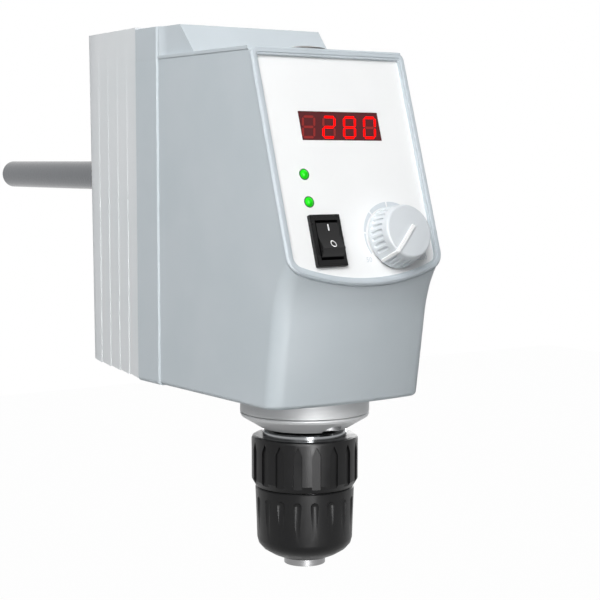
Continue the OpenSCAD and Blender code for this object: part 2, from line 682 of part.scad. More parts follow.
module drive_belt() color("Black") {
    belt_ring(0.5, pulley_w - 1, 0);
    for (z = [1.3:rib_pitch:pulley_w - 1]) belt_ring(z - 0.2, 0.4, 0.5);
}

// ---------- electronics in the rear ----------

module power_board() color("DarkGreen") translate([-33, plate_y + plate_t + 6, floor_z + 14]) {
    cube([66, 1.6, 62]);
    for (x = [4, 62], z = [4, 58]) translate([x, -6, z]) rotate([-90, 0, 0]) cylinder(r = 2.5, h = 6);
}

module board_parts() color("DarkSlateGray") translate([-33, plate_y + plate_t + 7.6, floor_z + 14]) {
    translate([4, 0, 36]) cube([20, 16, 18]);                                             // mains filter
    for (x = [34, 46, 58]) translate([x, 0, 46]) rotate([-90, 0, 0]) cylinder(r = 5, h = 18);  // capacitors
    translate([30, 0, 8]) for (k = [0:4]) translate([k * 6, 0, 0]) cube([2, 14, 26]);     // heat sink fins
    translate([30, 0, 8]) cube([26, 2, 26]);
    translate([6, 0, 8]) cube([16, 12, 20]);                                              // relay
}

// ---------- collar, skirt and spindle ----------

module collar() color("Silver") difference() {
    rotate_extrude() polygon([
        [collar_in_r, floor_z], [collar_r - 0.4, floor_z], [collar_r, floor_z - 0.4], [collar_r, collar_bottom],
        [collar_r - 3, collar_bottom], [collar_r - 3, floor_z - 1.5], [collar_in_r, floor_z - 1.5]]);
    collar_screw_places(floor_z - 5) cylinder(r = 1.6, h = 10);
}

module collar_screws() color("Silver") collar_screw_places(floor_z - 1.5) {
    cylinder(r = 1.5, h = 1.5 + wall + foot_t);
    translate([0, 0, -1.6]) cylinder(r = 2.4, h = 1.6);
}

// Conical splash skirt: a spigot fits inside the collar, and a scoop is cut through its front.
module skirt() color("Silver") difference() {
    rotate_extrude() polygon([
        [collar_r - 0.4, skirt_top], [collar_r, skirt_top - 0.6], [collar_r - 0.6, skirt_top - 1.8],
        [skirt_end_r, skirt_bottom], [seal_r, skirt_bottom], [seal_r, skirt_bottom + 2],
        [skirt_end_r - 1.2, skirt_bottom + 2], [collar_r - 5.2, skirt_top - 1.5], [collar_r - 5.2, skirt_top + 2.4],
        [collar_r - 3 - seat_gap, skirt_top + 2.4], [collar_r - 3 - seat_gap, skirt_top]]);
    translate([0, -skirt_end_r - 1.2, skirt_bottom - 1]) cylinder(r = 4.4, h = skirt_top - skirt_bottom - 0.8);
}

module shaft_seal() color("Black") rotate_extrude() polygon([
    [neck_r + free_gap, skirt_bottom], [seal_r - seat_gap, skirt_bottom], [seal_r - seat_gap, skirt_bottom + 2],
    [neck_r + 1.6, skirt_bottom + 2], [neck_r + free_gap, skirt_bottom + 0.8]]);

module spindle() color("Silver") difference() {
    union() {
        translate([0, 0, spindle_bottom]) cylinder(r = spindle_r, h = spindle_top - spindle_bottom);
        translate([0, 0, lower_bearing_z + bearing_w + 0.2]) cylinder(r = spindle_r + 1.8, h = 4);
        translate([0, 0, upper_bearing_z - 4.2]) cylinder(r = spindle_r + 1.8, h = 4);
    }
    translate([0, 0, spindle_bottom - 1]) cylinder(r = bore_r, h = big);
}

module spindle_plug() color("Black") rotate_extrude() union() {
    translate([0, parting_z - 2]) square([plug_r - run_gap, shelf_z - parting_z + 2 + 0.3]);
    intersection() {
        translate([0, shelf_z + 0.05]) square([plug_r + 0.5, 10]);
        translate([0, shelf_z + plug_rise - plug_dome_r]) circle(r = plug_dome_r, $fn = 240);
    }
}

// ---------- chuck ----------

module chuck_ring() color("Silver") rotate_extrude() polygon([
    [neck_r + seat_gap, ring_bottom], [ring_r, ring_bottom], [ring_r, ring_top - 1.4], [ring_r - 0.5, ring_top - 0.8],
    [ring_r - 4.5, ring_top - 0.3], [ring_r - 5, ring_top], [neck_r + seat_gap, ring_top]]);

// Places children on the axis of jaw k: z runs up the jaw from the nose plane.
module on_jaw(k) rotate([0, 0, k * 120 - 90]) translate([jaw_foot_r, 0, nose_bottom]) rotate([0, jaw_angle, 0]) children();

module chuck_body() color("Silver") difference() {
    rotate_extrude() union() {
        translate([bore_r + 0.35, nose_bottom]) square([nose_d / 2 - bore_r - 0.35, 5]);
        translate([bore_r + 0.35, lower_sleeve_bottom + 0.2]) square([body_foot_r - bore_r - 0.35, 6]);
        translate([bore_r + 0.35, lower_sleeve_bottom + 5.7]) square([body_shoulder_r - bore_r - 0.35, nut_bottom - lower_sleeve_bottom - 5.9]);
        translate([bore_r + 0.35, nut_bottom - 1]) square([11.3 - bore_r - 0.35, nut_w + 2]);
        translate([bore_r + 0.35, nut_top + 0.2]) square([body_core_r - bore_r - 0.35, upper_sleeve_bottom - nut_top - 0.2]);
        translate([bore_r + 0.35, upper_sleeve_bottom]) square([body_head_r - bore_r - 0.35, upper_sleeve_len - 2.6]);
        translate([bore_r + 0.35, spindle_bottom - 1]) square([neck_r - bore_r - 0.35, ring_top + 3.5 - spindle_bottom + 1]);
    }
    translate([0, 0, spindle_bottom]) cylinder(r = spindle_r + seat_gap, h = big);
    for (k = [0:2]) on_jaw(k) translate([0, 0, -5]) cylinder(r = jaw_r + run_gap, h = (jaw_top - nose_bottom) / cos(jaw_angle) + 7);
}

// Flat grip groove with a pointed top, cut into a sleeve.
module grip_groove(r, w, z_low, z_top, depth)
    translate([r - depth, 0, 0]) rotate([90, 0, 90]) linear_extrude(10)
        polygon([[-w / 2, z_low], [w / 2, z_low], [w / 2, z_top - w / 2], [0.4, z_top + w / 2 - 0.6], [0, z_top + w / 2],
            [-0.4, z_top + w / 2 - 0.6], [-w / 2, z_top - w / 2]]);

module upper_sleeve() color("DimGray") difference() {
    rotate_extrude() difference() {
        polygon([
            [ring_r - 4, upper_sleeve_top], [upper_sleeve_d / 2 - 1.6, upper_sleeve_top], [upper_sleeve_d / 2 - 0.5, upper_sleeve_top - 0.5],
            [upper_sleeve_d / 2, upper_sleeve_top - 1.6], [upper_sleeve_d / 2, upper_sleeve_bottom + 3.3],
            [upper_sleeve_d / 2 - 1.9, upper_sleeve_bottom], [body_head_r + seat_gap, upper_sleeve_bottom], [ring_r - 4, upper_sleeve_bottom]]);
        translate([0, upper_sleeve_bottom - 1]) square([body_head_r + seat_gap, upper_sleeve_len - 2.6 + 1 + seat_gap]);
    }
    for (k = [0:groove_count - 1]) rotate([0, 0, -92 + k * 360 / groove_count])
        grip_groove(upper_sleeve_d / 2, 4.1, upper_sleeve_bottom - 3, upper_sleeve_top - 4.3, 0.9);
}

module lower_sleeve() color("DimGray") difference() {
    rotate_extrude() difference() {
        polygon([
            [body_foot_r + run_gap, lower_sleeve_bottom], [body_foot_r + run_gap, lower_sleeve_top],
            [lower_sleeve_d / 2 - 0.6, lower_sleeve_top], [lower_sleeve_d / 2, lower_sleeve_top - 0.6],
            [lower_sleeve_d / 2 - 0.8, lower_sleeve_bottom + 9], [lower_sleeve_d / 2 - 1.5, lower_sleeve_bottom + 6.4],
            [lower_sleeve_d / 2 - 3.6, lower_sleeve_bottom + 4], [lower_sleeve_d / 2 - 7.5, lower_sleeve_bottom + 1.6], [body_foot_r + 0.6, lower_sleeve_bottom]]);
        translate([0, nut_bottom - seat_gap]) square([sleeve_in_r, 60]);
        translate([0, lower_sleeve_bottom + 5.5]) square([body_shoulder_r + run_gap, 60]);
    }
    for (k = [0:groove_count - 1]) rotate([0, 0, -93 + k * 360 / groove_count]) {
        flute(lower_sleeve_bottom + 7.4, lower_sleeve_top - 3.8);
        // drain notch low on the shoulder
        translate([lower_sleeve_d / 2 - 4.6, -1.1, lower_sleeve_bottom + 1.6]) cube([6, 2.2, 1.9]);
    }
}

// Hollow flute with round ends on the lower sleeve.
module flute(z_low, z_top) {
    r = (flute_w * flute_w / 4 + flute_depth * flute_depth) / (2 * flute_depth);
    lean = atan(0.8 / (lower_sleeve_len - 9.6));
    half = flute_w / 2;
    translate([lower_sleeve_d / 2 + r - flute_depth, 0, z_top]) rotate([0, -lean, 0]) {
        translate([0, 0, z_low - z_top + half]) cylinder(r = r, h = z_top - z_low - flute_w);
        translate([0, 0, z_low - z_top + half]) sphere(r = r);
        translate([0, 0, -half]) sphere(r = r);
    }
}

module drive_nut() color("Goldenrod") rotate_extrude() polygon([
    [jaw_foot_r + (nut_bottom - nose_bottom) * tan(jaw_angle) + jaw_r / cos(jaw_angle) + 0.15, nut_bottom],
    [sleeve_in_r - seat_gap, nut_bottom], [sleeve_in_r - seat_gap, nut_top],
    [jaw_foot_r + (nut_top - nose_bottom) * tan(jaw_angle) + jaw_r / cos(jaw_angle) + 0.15, nut_top]]);

module jaw(k) color("Gray") intersection() {
    on_jaw(k) translate([0, 0, -5]) cylinder(r = jaw_r, h = (jaw_top - nose_bottom) / cos(jaw_angle) + 5);
    rotate([0, 0, k * 120 - 90]) translate([jaw_open, 0, nose_bottom + 0.3]) linear_extrude(jaw_top - nose_bottom)
        polygon([[0, 0], [30, 30 * tan(60)], [30, -30 * tan(60)]]);
}

module jaw_1() jaw(0);
module jaw_2() jaw(1);
module jaw_3() jaw(2);

// ---------- rear ----------

// Plan behind the last band: the wall with its round corners, and the full width in front of them.
module rear_plan(d) {
    h = rear_half_w - band_side_step * (band_count - 1) - 0.5 - d;
    r = rear_corner_r - d;
    corner_y = rear_y - d - r;
    translate([-big / 2, seam_y - 20]) square([big, corner_y - seam_y + 20]);
    translate([-h + r, corner_y - 1]) square([2 * (h - r), r + 1]);
    for (sx = [-1, 1]) intersection() {
        translate([sx * (h - r), corner_y]) circle(r = r);
        translate([-big / 2, corner_y - 1]) square([big, big]);
    }
}

// One side in section: overlapping bands, each with a small slope at its front edge; out counts the distance
// from the centre at the seam, step the drop from band to band.
function band_points(out, step) = [for (i = [0:band_count - 1]) each [
    [seam_y + i * band_pitch, out - step * i - (i == 0 ? 0 : band_lip)],
    [seam_y + i * band_pitch + band_lip, out - step * i],
    [seam_y + (i + 1) * band_pitch, out - step * (i + 1) - band_lip]]];
last_side = rear_half_w - band_side_step * band_count;
side_points = concat([[seam_y, rear_half_w]], band_points(rear_half_w, band_side_step), [[rear_y + 20, last_side - 1]]);
low_points = concat([[seam_y, -rear_floor_z]], band_points(-rear_floor_z, band_floor_step),
    [[rear_y + 20, -rear_floor_z - band_floor_step * band_count]]);

module rear_outer() intersection() {
    // sides in plan
    translate([0, 0, -big / 2]) linear_extrude(big)
        polygon(concat([for (p = side_points) [p[1], p[0]]], [for (i = [len(side_points) - 1:-1:0]) [-side_points[i][1], side_points[i][0]]]));
    // underside and top seen from the side
    translate([-big / 2, 0, 0]) rotate([90, 0, 90]) linear_extrude(big)
        polygon(concat([for (p = low_points) [p[0], -p[1]]], [[rear_y + 20, rear_top_z], [seam_y, rear_top_z]]));
    leaning_rear(0);
}

module leaning_rear(d) rotate([-rear_lean, 0, 0]) translate([0, 0, -150]) linear_extrude(300) rear_plan(d);

// Straight hollow, sized from the smallest band and open at the seam.
module rear_cavity() {
    h = last_side - band_lip - wall;
    low = rear_floor_z + band_floor_step * band_count + band_lip + wall;
    high = rear_top_z - wall;
    intersection() {
        translate([0, rear_y + 20, (low + high) / 2]) rotate([90, 0, 0])
            linear_extrude(rear_y + 21 - seam_y) round_rect(2 * h, high - low, 1.5);
        leaning_rear(wall);
    }
}

module rear_housing() color("GhostWhite") difference() {
    union() {
        rear_outer();
        // flat pads for the rod bush and the mains inlet
        translate([0, rear_y - 10, 0]) rotate([-90, 0, 0]) cylinder(r = rod_r + 9, h = pad_y - rear_y + 10);
        translate([0, rear_y - 10, inlet_z]) rotate([-90, 0, 0]) round_box(36, 37, inlet_y - rear_y + 10, 2);
    }
    rear_cavity();
    translate([0, rear_y - 12, 0]) rotate([-90, 0, 0]) cylinder(r = rod_r + 3, h = 30);
    translate([0, rear_y - 12, inlet_z]) rotate([-90, 0, 0]) linear_extrude(30)
        square([inlet_w + 0.3, inlet_h + 0.3], center = true);
    // cooling slots
    for (sx = [-1, 1], k = [0:5]) translate([sx * 15 - 9, rear_y - 12, 24 + k * 5]) cube([18, 30, 2]);
    screw_places(-12) cylinder(r = 1.6 + seat_gap, h = 30);
    screw_places(0) cylinder(r = 3.4, h = 30);
}

// The four screws at the back; z runs out of the wall, from the seat of the screw head.
module screw_places(z) for (sx = [-1, 1], h = screw_zs)
    translate([sx * screw_x, rear_y - 1.4 + h * tan(rear_lean), h]) rotate([-90, 0, 0]) translate([0, 0, z]) children();

module support_rod() color("Silver") rotate([-90, 0, 0]) {
    translate([0, 0, rod_start]) cylinder(r = spigot_r, h = bush_end - rod_start + eps);
    translate([0, 0, bush_end]) cylinder(r = rod_r, h = rod_end - bush_end - 1);
    translate([0, 0, rod_end - 1]) cylinder(r1 = rod_r, r2 = rod_r - 1, h = 1);
}

module rod_bush() color("DimGray") rotate([-90, 0, 0]) difference() {
    union() {
        translate([0, 0, rear_y - wall]) cylinder(r = rod_r + 3 - seat_gap, h = 5);
        translate([0, 0, pad_y]) cylinder(r = rod_r + 7, h = bush_end - pad_y - 1);
        translate([0, 0, pad_y]) cylinder(r = rod_r + 6, h = bush_end - pad_y);
    }
    translate([0, 0, rear_y - 20]) cylinder(r = spigot_r + seat_gap, h = 60);
}

module rod_set_screw() color("DimGray") translate([0, set_screw_y, spigot_r + seat_gap]) cylinder(r = 2.5, h = 9.5);

// Socket for a mains lead, with a fuse drawer over it.
module mains_inlet() color("Black") translate([0, inlet_y, inlet_z]) rotate([-90, 0, 0]) difference() {
    union() {
        translate([0, 0, -inlet_depth]) linear_extrude(inlet_depth) square([inlet_w, inlet_h], center = true);
        round_box(33, 34, 1.6, 2);
    }
    translate([0, inlet_z - socket_z, 2 - inlet_depth]) linear_extrude(40) round_rect(inlet_w - 3.4, 16, 2.5);
    translate([0, inlet_z - fuse_z, -9]) linear_extrude(40) square([15, 6.4], center = true);
}

module inlet_pins() color("Goldenrod") for (p = [[-7, 1.5], [0, -2.5], [7, 1.5]])
    translate([p[0] - 1, inlet_y - inlet_depth + 2, socket_z + p[1] - 2]) cube([2, 12, 4]);

module fuse_drawer() color("DimGray") translate([-7.4, inlet_y - 9, fuse_z - 3.1]) cube([14.8, 11.4, 6.2]);

module housing_screws() color("Silver") screw_places(0) {
    difference() {
        cylinder(r = 3.2, h = 1.8);
        translate([0, 0, 0.9]) cylinder(r = 1.5, h = 2, $fn = 6);
    }
    translate([0, 0, -8]) cylinder(r = 1.6, h = 8.2);
}

front_housing();
top_cover();
rear_housing();
panel_frame();
front_panel();
display_window();
display_module();
upper_lamp();
lower_lamp();
control_board();
switch_body();
switch_terminals();
rocker();
potentiometer();
pot_nut();
knob_shaft();
speed_knob();
knob_pointer();
chassis();
upper_bearing();
lower_bearing();
motor_can();
motor_screws();
motor_shaft();
motor_pulley();
cooling_fan();
drive_belt();
spindle();
spindle_pulley();
power_board();
board_parts();
collar();
collar_screws();
skirt();
shaft_seal();
spindle_plug();
chuck_ring();
chuck_body();
upper_sleeve();
lower_sleeve();
drive_nut();
jaw_1();
jaw_2();
jaw_3();
support_rod();
rod_bush();
rod_set_screw();
mains_inlet();
inlet_pins();
fuse_drawer();
housing_screws();
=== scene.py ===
# %% [markdown]
# # Overhead stirrer, dressed for a studio picture
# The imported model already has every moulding, shaft and screw in its place.
# This lesson loads it, rounds its edges, gives each piece its own finish, and adds the printed
# marks, display digits and small trims that are too fine for the construction model.

# %% Load the model
import bpy
import bmesh
import math
from mathutils import Matrix, Vector


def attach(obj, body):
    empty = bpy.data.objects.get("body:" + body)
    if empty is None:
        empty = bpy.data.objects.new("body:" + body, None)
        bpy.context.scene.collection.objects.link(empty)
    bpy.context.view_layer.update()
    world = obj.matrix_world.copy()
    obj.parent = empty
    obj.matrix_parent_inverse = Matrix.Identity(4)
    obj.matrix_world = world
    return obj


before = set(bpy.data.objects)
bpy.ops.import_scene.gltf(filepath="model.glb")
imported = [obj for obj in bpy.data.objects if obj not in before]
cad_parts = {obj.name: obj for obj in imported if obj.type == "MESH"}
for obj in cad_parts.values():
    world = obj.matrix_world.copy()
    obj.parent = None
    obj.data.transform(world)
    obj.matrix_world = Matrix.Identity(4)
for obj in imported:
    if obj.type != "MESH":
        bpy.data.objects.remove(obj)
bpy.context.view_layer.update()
scene = bpy.context.scene
MM = 0.001

# %% [markdown]
# ## Camera
# The camera stands in front and to the left, about level with the support rod, and looks slightly
# down. A long lens from about 0.7 m keeps the tall housing nearly free of converging lines.

# %% Camera
LOOK_DOWN, LOOK_RIGHT = 5.21, 34.49  # degrees

camera_data = bpy.data.cameras.new("studio_camera")
camera_data.sensor_width = 36
camera_data.lens = 90.87
camera_data.clip_start = 0.01
camera = bpy.data.objects.new("studio_camera", camera_data)
camera.location = (-0.3961, -0.5727, 0.0076)
camera.rotation_euler = (math.radians(90 - LOOK_DOWN), 0, math.radians(-LOOK_RIGHT))
scene.collection.objects.link(camera)
scene.camera = camera

# %% [markdown]
# ## Softer edges
# Moulded and turned parts never have knife edges: each edge carries a small radius that catches
# the light. The loaded meshes are loose flat triangles, so a stack of modifiers joins them,
# dissolves the flat ones, bevels what is left sharp and shades the curves smoothly.

# %% Shading group
def smooth_by_angle(name, degrees):
    """Geometry nodes group that shades smooth, and leaves edges over an angle sharp."""
    group = bpy.data.node_groups.new(name, "GeometryNodeTree")
    group.interface.new_socket("Geometry", in_out="INPUT", socket_type="NodeSocketGeometry")
    group.interface.new_socket("Geometry", in_out="OUTPUT", socket_type="NodeSocketGeometry")
    nodes, links = group.nodes, group.links
    start, end = nodes.new("NodeGroupInput"), nodes.new("NodeGroupOutput")
    all_smooth = nodes.new("GeometryNodeSetShadeSmooth")
    all_smooth.domain = "FACE"
    sharp = nodes.new("GeometryNodeSetShadeSmooth")
    sharp.domain = "EDGE"
    sharp.inputs["Shade Smooth"].default_value = False
    angle = nodes.new("GeometryNodeInputMeshEdgeAngle")
    steep = nodes.new("FunctionNodeCompare")
    steep.data_type = "FLOAT"
    steep.operation = "GREATER_THAN"
    steep.inputs[1].default_value = math.radians(degrees)
    links.new(start.outputs[0], all_smooth.inputs["Geometry"])
    links.new(all_smooth.outputs[0], sharp.inputs["Geometry"])
    links.new(angle.outputs["Unsigned Angle"], steep.inputs[0])
    links.new(steep.outputs[0], sharp.inputs["Selection"])
    links.new(sharp.outputs[0], end.inputs[0])
    return group


shade_curves = smooth_by_angle("shade_curves", 34)
shade_bands = smooth_by_angle("shade_bands", 50)

# %% Edge rounding
WELD_MM = 0.004      # corners nearer than this become one
FLAT_DEGREES = 0.4   # triangles that meet at less than this become one face
BEVEL_STEPS = 2
FLAT_FACE_WEIGHT = 80


def soften(obj, width_mm, sharp_degrees=28, dissolve=True, shading=shade_curves):
    """Weld, dissolve flat triangles, bevel the sharp edges and shade the curves."""
    weld = obj.modifiers.new("join", "WELD")
    weld.merge_threshold = WELD_MM * MM
    if width_mm and dissolve:
        flat = obj.modifiers.new("flatten", "DECIMATE")
        flat.decimate_type = "DISSOLVE"
        flat.angle_limit = math.radians(FLAT_DEGREES)
    if width_mm:
        bevel = obj.modifiers.new("edge_radius", "BEVEL")
        bevel.width = width_mm * MM
        bevel.segments = BEVEL_STEPS
        bevel.limit_method = "ANGLE"
        bevel.angle_limit = math.radians(sharp_degrees)
        bevel.miter_outer = "MITER_ARC"
        bevel.use_clamp_overlap = True
    shade = obj.modifiers.new("shade", "NODES")
    shade.node_group = shading
    if width_mm:
        weigh = obj.modifiers.new("flat_faces_first", "WEIGHTED_NORMAL")
        weigh.keep_sharp = True
        weigh.weight = FLAT_FACE_WEIGHT


# millimetres; a piece that isn't listed keeps its edges and is only shaded
EDGE_RADII = {
    "front_housing": 0.5, "top_cover": 0.7, "rear_housing": 0.5, "panel_frame": 0.3, "display_window": 0.15,
    "switch_body": 0.35, "rocker": 0.45, "knob_pointer": 0.25, "upper_sleeve": 0.35, "lower_sleeve": 0.35,
    "collar": 0.2, "skirt": 0.2, "chuck_body": 0.25, "rod_bush": 0.4, "mains_inlet": 0.3, "fuse_drawer": 0.3,
    "chassis": 0.4, "cooling_fan": 0.2,
}
for node_name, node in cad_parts.items():
    # a face with holes in it can't be one polygon, so the ring and the slotted wall keep their triangles
    if node_name == "panel_frame":
        soften(node, EDGE_RADII[node_name], dissolve=False)
    elif node_name == "rear_housing":
        soften(node, EDGE_RADII[node_name], sharp_degrees=50, dissolve=False, shading=shade_bands)
    else:
        soften(node, EDGE_RADII.get(node_name, 0.0))

# %% [markdown]
# ## Finishes
# Every finish starts from the same shader and then gets the fine detail of its own process: the
# spark-eroded grain of a moulding, the turning lines of a lathe, the tiny ripple of polished steel.

# %% Colour and node helpers
def colour(hex_code):
    """Linear colour from a hex code as seen on screen."""
    channels = [int(hex_code[i:i + 2], 16) / 255 for i in (0, 2, 4)]
    return tuple(c / 12.92 if c <= 0.04045 else ((c + 0.055) / 1.055) ** 2.4 for c in channels) + (1.0,)


def plain_finish(name, hex_code, roughness, metallic=0.0, specular=0.5):
    """A material with its main numbers on the shader's own sockets."""
    material = bpy.data.materials.new(name)
    material.use_nodes = True
    shader = material.node_tree.nodes["Principled BSDF"]
    shader.inputs["Base Color"].default_value = colour(hex_code)
    shader.inputs["Roughness"].default_value = roughness
    shader.inputs["Metallic"].default_value = metallic
    shader.inputs["Specular IOR Level"].default_value = specular
    return material


def add_node(material, kind, **settings):
    node = material.node_tree.nodes.new(kind)
    for key, value in settings.items():
        setattr(node, key, value)
    return node


def join(material, out_socket, in_socket):
    material.node_tree.links.new(out_socket, in_socket)


def noise_on_object(material, scale, detail=3.0, stretch=(1, 1, 1)):
    """Noise that stays with the piece; scale counts features per metre."""
    place = add_node(material, "ShaderNodeTexCoord")
    mapping = add_node(material, "ShaderNodeMapping")
    mapping.inputs["Scale"].default_value = stretch
    noise = add_node(material, "ShaderNodeTexNoise")
    noise.inputs["Scale"].default_value = scale
    noise.inputs["Detail"].default_value = detail
    join(material, place.outputs["Object"], mapping.inputs["Vector"])
    join(material, mapping.outputs["Vector"], noise.inputs["Vector"])
    return noise.outputs["Fac"]


def add_bump(material, height, strength, depth_mm):
    bump = add_node(material, "ShaderNodeBump")
    bump.inputs["Strength"].default_value = strength
    bump.inputs["Distance"].default_value = depth_mm * MM
    join(material, height, bump.inputs["Height"])
    join(material, bump.outputs["Normal"], material.node_tree.nodes["Principled BSDF"].inputs["Normal"])


def spread(material, factor, socket, low, high):
    """Maps a 0..1 pattern onto a number of the shader."""
    ramp = add_node(material, "ShaderNodeMapRange")
    ramp.inputs["From Min"].default_value = 0.3
    ramp.inputs["From Max"].default_value = 0.7
    ramp.inputs["To Min"].default_value = low
    ramp.inputs["To Max"].default_value = high
    join(material, factor, ramp.inputs["Value"])
    join(material, ramp.outputs["Result"], material.node_tree.nodes["Principled BSDF"].inputs[socket])


def tint(material, factor, low_hex, high_hex):
    """Maps a 0..1 pattern onto a range of colours."""
    ramp = add_node(material, "ShaderNodeValToRGB")
    ramp.color_ramp.elements[0].position = 0.35
    ramp.color_ramp.elements[1].position = 0.65
    ramp.color_ramp.elements[0].color = colour(low_hex)
    ramp.color_ramp.elements[1].color = colour(high_hex)
    join(material, factor, ramp.inputs["Fac"])
    join(material, ramp.outputs["Color"], material.node_tree.nodes["Principled BSDF"].inputs["Base Color"])


# %% Moulded plastic
def moulded(name, low_hex, high_hex, roughness, grain_mm=0.45, grain_depth=0.012):
    """Moulded plastic: fine even grain, broad faint tone changes, slightly uneven gloss."""
    material = plain_finish(name, low_hex, roughness)
    add_bump(material, noise_on_object(material, 1000 / grain_mm, 2.0), 0.55, grain_depth)
    tint(material, noise_on_object(material, 28, 2.0), low_hex, high_hex)
    spread(material, noise_on_object(material, 160, 4.0), "Roughness", roughness - 0.04, roughness + 0.05)
    return material


# %% Turned and brushed metal
def turned(name, hex_code, roughness, ring_mm=0.35, axis="Z", depth=0.006, metallic=1.0):
    """Metal off the lathe: a pattern drawn out into fine rings across the axis."""
    material = plain_finish(name, hex_code, roughness, metallic=metallic)
    stretch = {"Z": (1, 1, 40), "Y": (1, 40, 1)}[axis]
    rings = noise_on_object(material, 25 / ring_mm, 4.0, stretch)
    add_bump(material, rings, 0.5, depth)
    spread(material, rings, "Roughness", roughness - 0.05, roughness + 0.07)
    return material


FINISHES = {
    "front_housing": moulded("housing_blue_grey", "C4CDD2", "C8D0D5", 0.52),
    "top_cover": moulded("cover_blue_grey", "C7CFD4", "CBD3D8", 0.52),
    "rear_housing": moulded("rear_pale_grey", "EBEFF1", "EEF1F3", 0.55),
    "panel_frame": moulded("frame_grey", "C0C9CF", "C4CCD2", 0.36, grain_depth=0.006),
    "front_panel": moulded("panel_film", "F4F5F5", "F6F7F7", 0.38, grain_mm=0.2, grain_depth=0.003),
    "display_window": plain_finish("tinted_window", "5A2427", 0.2),
    "display_module": moulded("display_case", "14100F", "1A1514", 0.5),
    "switch_body": moulded("switch_frame_black", "0E0E0F", "131314", 0.28, grain_depth=0.004),
    "rocker": moulded("rocker_black", "0B0B0C", "101011", 0.22, grain_depth=0.003),
    "speed_knob": moulded("knob_pale", "D2D7DB", "D6DBDE", 0.42, grain_depth=0.006),
    "knob_pointer": moulded("pointer_white", "F7F7F7", "FAFAFA", 0.35, grain_depth=0.004),
    "collar": turned("collar_alloy", "CFD0D1", 0.6, ring_mm=0.5, metallic=0.2),
    "skirt": turned("skirt_alloy", "C9CACB", 0.55, ring_mm=0.5, metallic=0.4),
    "chuck_ring": turned("ring_chrome", "8E9092", 0.12, depth=0.002),
    "chuck_body": turned("chuck_steel", "8D8D8E", 0.34),
    # the rod's chrome is much darker than chrome: painted shade standing in for the dark surroundings it
    # reflects
    "support_rod": turned("rod_chrome_painted_dark", "6C6E71", 0.22, axis="Y", depth=0.002),
    "rod_bush": moulded("bush_black", "17181A", "1C1D1F", 0.5),
    "chassis": moulded("cast_alloy", "8F9092", "A3A4A6", 0.55, grain_mm=0.8, grain_depth=0.03),
    "motor_can": moulded("motor_paint", "3B3D40", "424447", 0.4),
    "mains_inlet": moulded("inlet_black", "101011", "151516", 0.42),
    "fuse_drawer": moulded("drawer_black", "18181A", "1D1D1F", 0.38),
    "spindle_plug": moulded("plug_black", "1B1C1D", "202122", 0.45),
    "cooling_fan": moulded("fan_black", "1C1D1E", "222324", 0.45),
}
sleeve_black = moulded("sleeve_black", "0F0F10", "141415", 0.38, grain_mm=0.5, grain_depth=0.006)
turned_steel = turned("turned_steel", "A9ABAE", 0.28)
ground_steel = turned("ground_steel", "7F8184", 0.3)
pulley_alloy = turned("pulley_alloy", "BDBFC1", 0.3)
brass = turned("brass", "C9A35A", 0.25)
belt_rubber = moulded("belt_rubber", "0F0F10", "151516", 0.65)
board_green = moulded("board_green", "0C4A2A", "0F5430", 0.32)
parts_dark = moulded("parts_dark", "23272B", "2B2F33", 0.45)
SHARED = {
    "upper_sleeve": sleeve_black, "lower_sleeve": sleeve_black,
    "drive_belt": belt_rubber, "shaft_seal": belt_rubber,
    "motor_pulley": pulley_alloy, "spindle_pulley": pulley_alloy,
    "jaw_1": ground_steel, "jaw_2": ground_steel, "jaw_3": ground_steel,
    "drive_nut": brass, "inlet_pins": brass, "switch_terminals": brass,
    "control_board": board_green, "power_board": board_green, "board_parts": parts_dark,
}

# %% [markdown]
# Satin mouldings reflect less than a polished surface does. The two pale shells at the top get the
# least, because their upper faces glare towards white in a low view from behind.

# %% Sheen
SHEEN = {
    "switch_body": 0.2, "rocker": 0.35, "display_window": 0.12,
    "front_housing": 0.35, "top_cover": 0.1, "rear_housing": 0.05,
}
for plastic, sheen in [(sleeve_black, 0.2)] + [(FINISHES[piece], value) for piece, value in SHEEN.items()]:
    plastic.node_tree.nodes["Principled BSDF"].inputs["Specular IOR Level"].default_value = sheen

# %% Glowing finishes
def glowing(name, hex_code, strength, roughness=0.5, specular=0.0):
    """A finish that also sends out some light of its own colour."""
    material = plain_finish(name, hex_code, roughness, specular=specular)
    shader = material.node_tree.nodes["Principled BSDF"]
    shader.inputs["Emission Color"].default_value = colour(hex_code)
    shader.inputs["Emission Strength"].default_value = strength
    return material


lamp_lens = glowing("lamp_lens", "14C80A", 0.35, roughness=0.35, specular=0.15)
SHARED["upper_lamp"] = lamp_lens
SHARED["lower_lamp"] = lamp_lens

# %% Put the finishes on
def dress(obj, material):
    """Gives every slot of a loaded node the finish, without touching its mesh."""
    if not obj.material_slots:
        obj.data.materials.append(material)
    for index in range(len(obj.material_slots)):
        obj.material_slots[index].material = material


for node_name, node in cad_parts.items():
    dress(node, FINISHES.get(node_name) or SHARED.get(node_name) or turned_steel)
print("finishes:", len(FINISHES) + len(set(SHARED.values())))

# %% [markdown]
# ## Working on the slanted panel
# Everything printed or fitted on the panel is made flat first, x across and y up the slope, and
# then carried to the panel by one matrix. The panel leans back by 17.7 degrees.

# %% Panel placement
PANEL_TILT = math.radians(17.7)
PANEL_TOP = Vector((0, -18.4, 57)) * MM
FACE_DEPTH = -1.3   # the film's face, below the frame's plane
INK_MM = 0.04       # thickness of printed marks


def panel_matrix(x=0.0, s=0.0, h=0.0):
    """x across, s down the slope from the panel's top, h out of the frame's plane, in millimetres."""
    lean = Matrix.Rotation(math.pi / 2 - PANEL_TILT, 4, "X")
    return Matrix.Translation(PANEL_TOP) @ lean @ Matrix.Translation(Vector((x, -s, h)) * MM)


